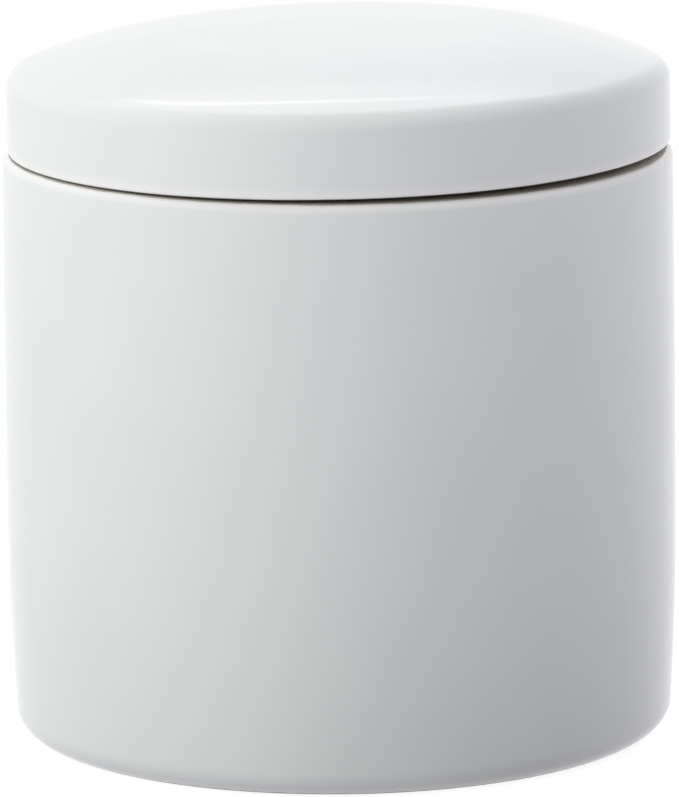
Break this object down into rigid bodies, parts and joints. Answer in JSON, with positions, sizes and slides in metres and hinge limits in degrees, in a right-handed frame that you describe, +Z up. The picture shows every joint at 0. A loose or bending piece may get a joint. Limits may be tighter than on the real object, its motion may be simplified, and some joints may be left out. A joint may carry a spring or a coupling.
{
  "type": "garlic keeper",
  "caption": "Round glazed porcelain keeper: a straight, slightly barrelled pot with a shallow domed cap lid whose collar drops into the mouth.",
  "frame": {"origin": "middle of the foot ring, on the surface that the pot stands on", "axes": "+Z up along the pot's axis, +X towards the side where the canted lid stands a little off the rim"},
  "size_m": [0.12, 0.12, 0.1271],
  "materials": {
    "pot_glaze": "glossy clear glaze over white porcelain, bare ground foot ring and rim land",
    "lid_glaze": "glossy clear glaze over white porcelain, bare seat land"
  },
  "bodies": {
    "pot": {"pot": "pot_glaze"},
    "lid": {"lid": "lid_glaze"}
  },
  "joints": [
    {"name": "lid_lift", "type": "slide", "parent": "pot", "child": "lid", "axis": [0, 0, 1], "range_m": [0, 0.15]}
  ]
}
